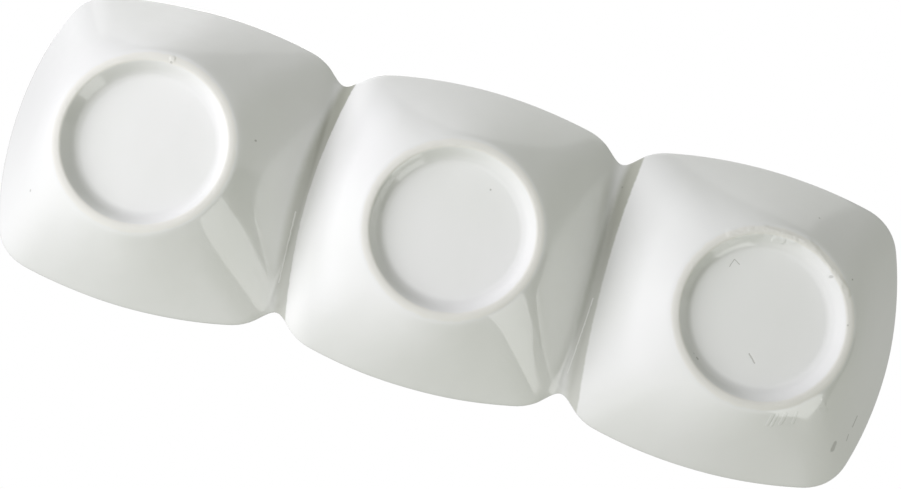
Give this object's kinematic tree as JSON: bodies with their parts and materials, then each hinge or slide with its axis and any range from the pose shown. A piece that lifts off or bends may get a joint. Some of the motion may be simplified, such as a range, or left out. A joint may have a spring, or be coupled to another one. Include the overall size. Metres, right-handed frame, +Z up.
{
  "type": "relish tray",
  "caption": "White glazed porcelain relish tray: a row of soft square bowls joined by low saddles, each standing on a round foot ring.",
  "frame": {"origin": "centre of the tray on the plane that its three foot rings stand on", "axes": "+X along the row of bowls, +Y across the tray, +Z up, out of the bowls"},
  "size_m": [0.3566, 0.122, 0.0344],
  "materials": {
    "glaze": "clear gloss glaze over white porcelain",
    "bare_foot": "thinly glazed, wiped foot ring, slightly cream"
  },
  "bodies": {
    "root": {"bowl_left": "glaze", "bowl_middle": "glaze", "bowl_right": "glaze", "foot_ring_left": "bare_foot", "foot_ring_middle": "bare_foot", "foot_ring_right": "bare_foot", "saddle_left": "glaze", "saddle_right": "glaze"}
  },
  "joints": []
}
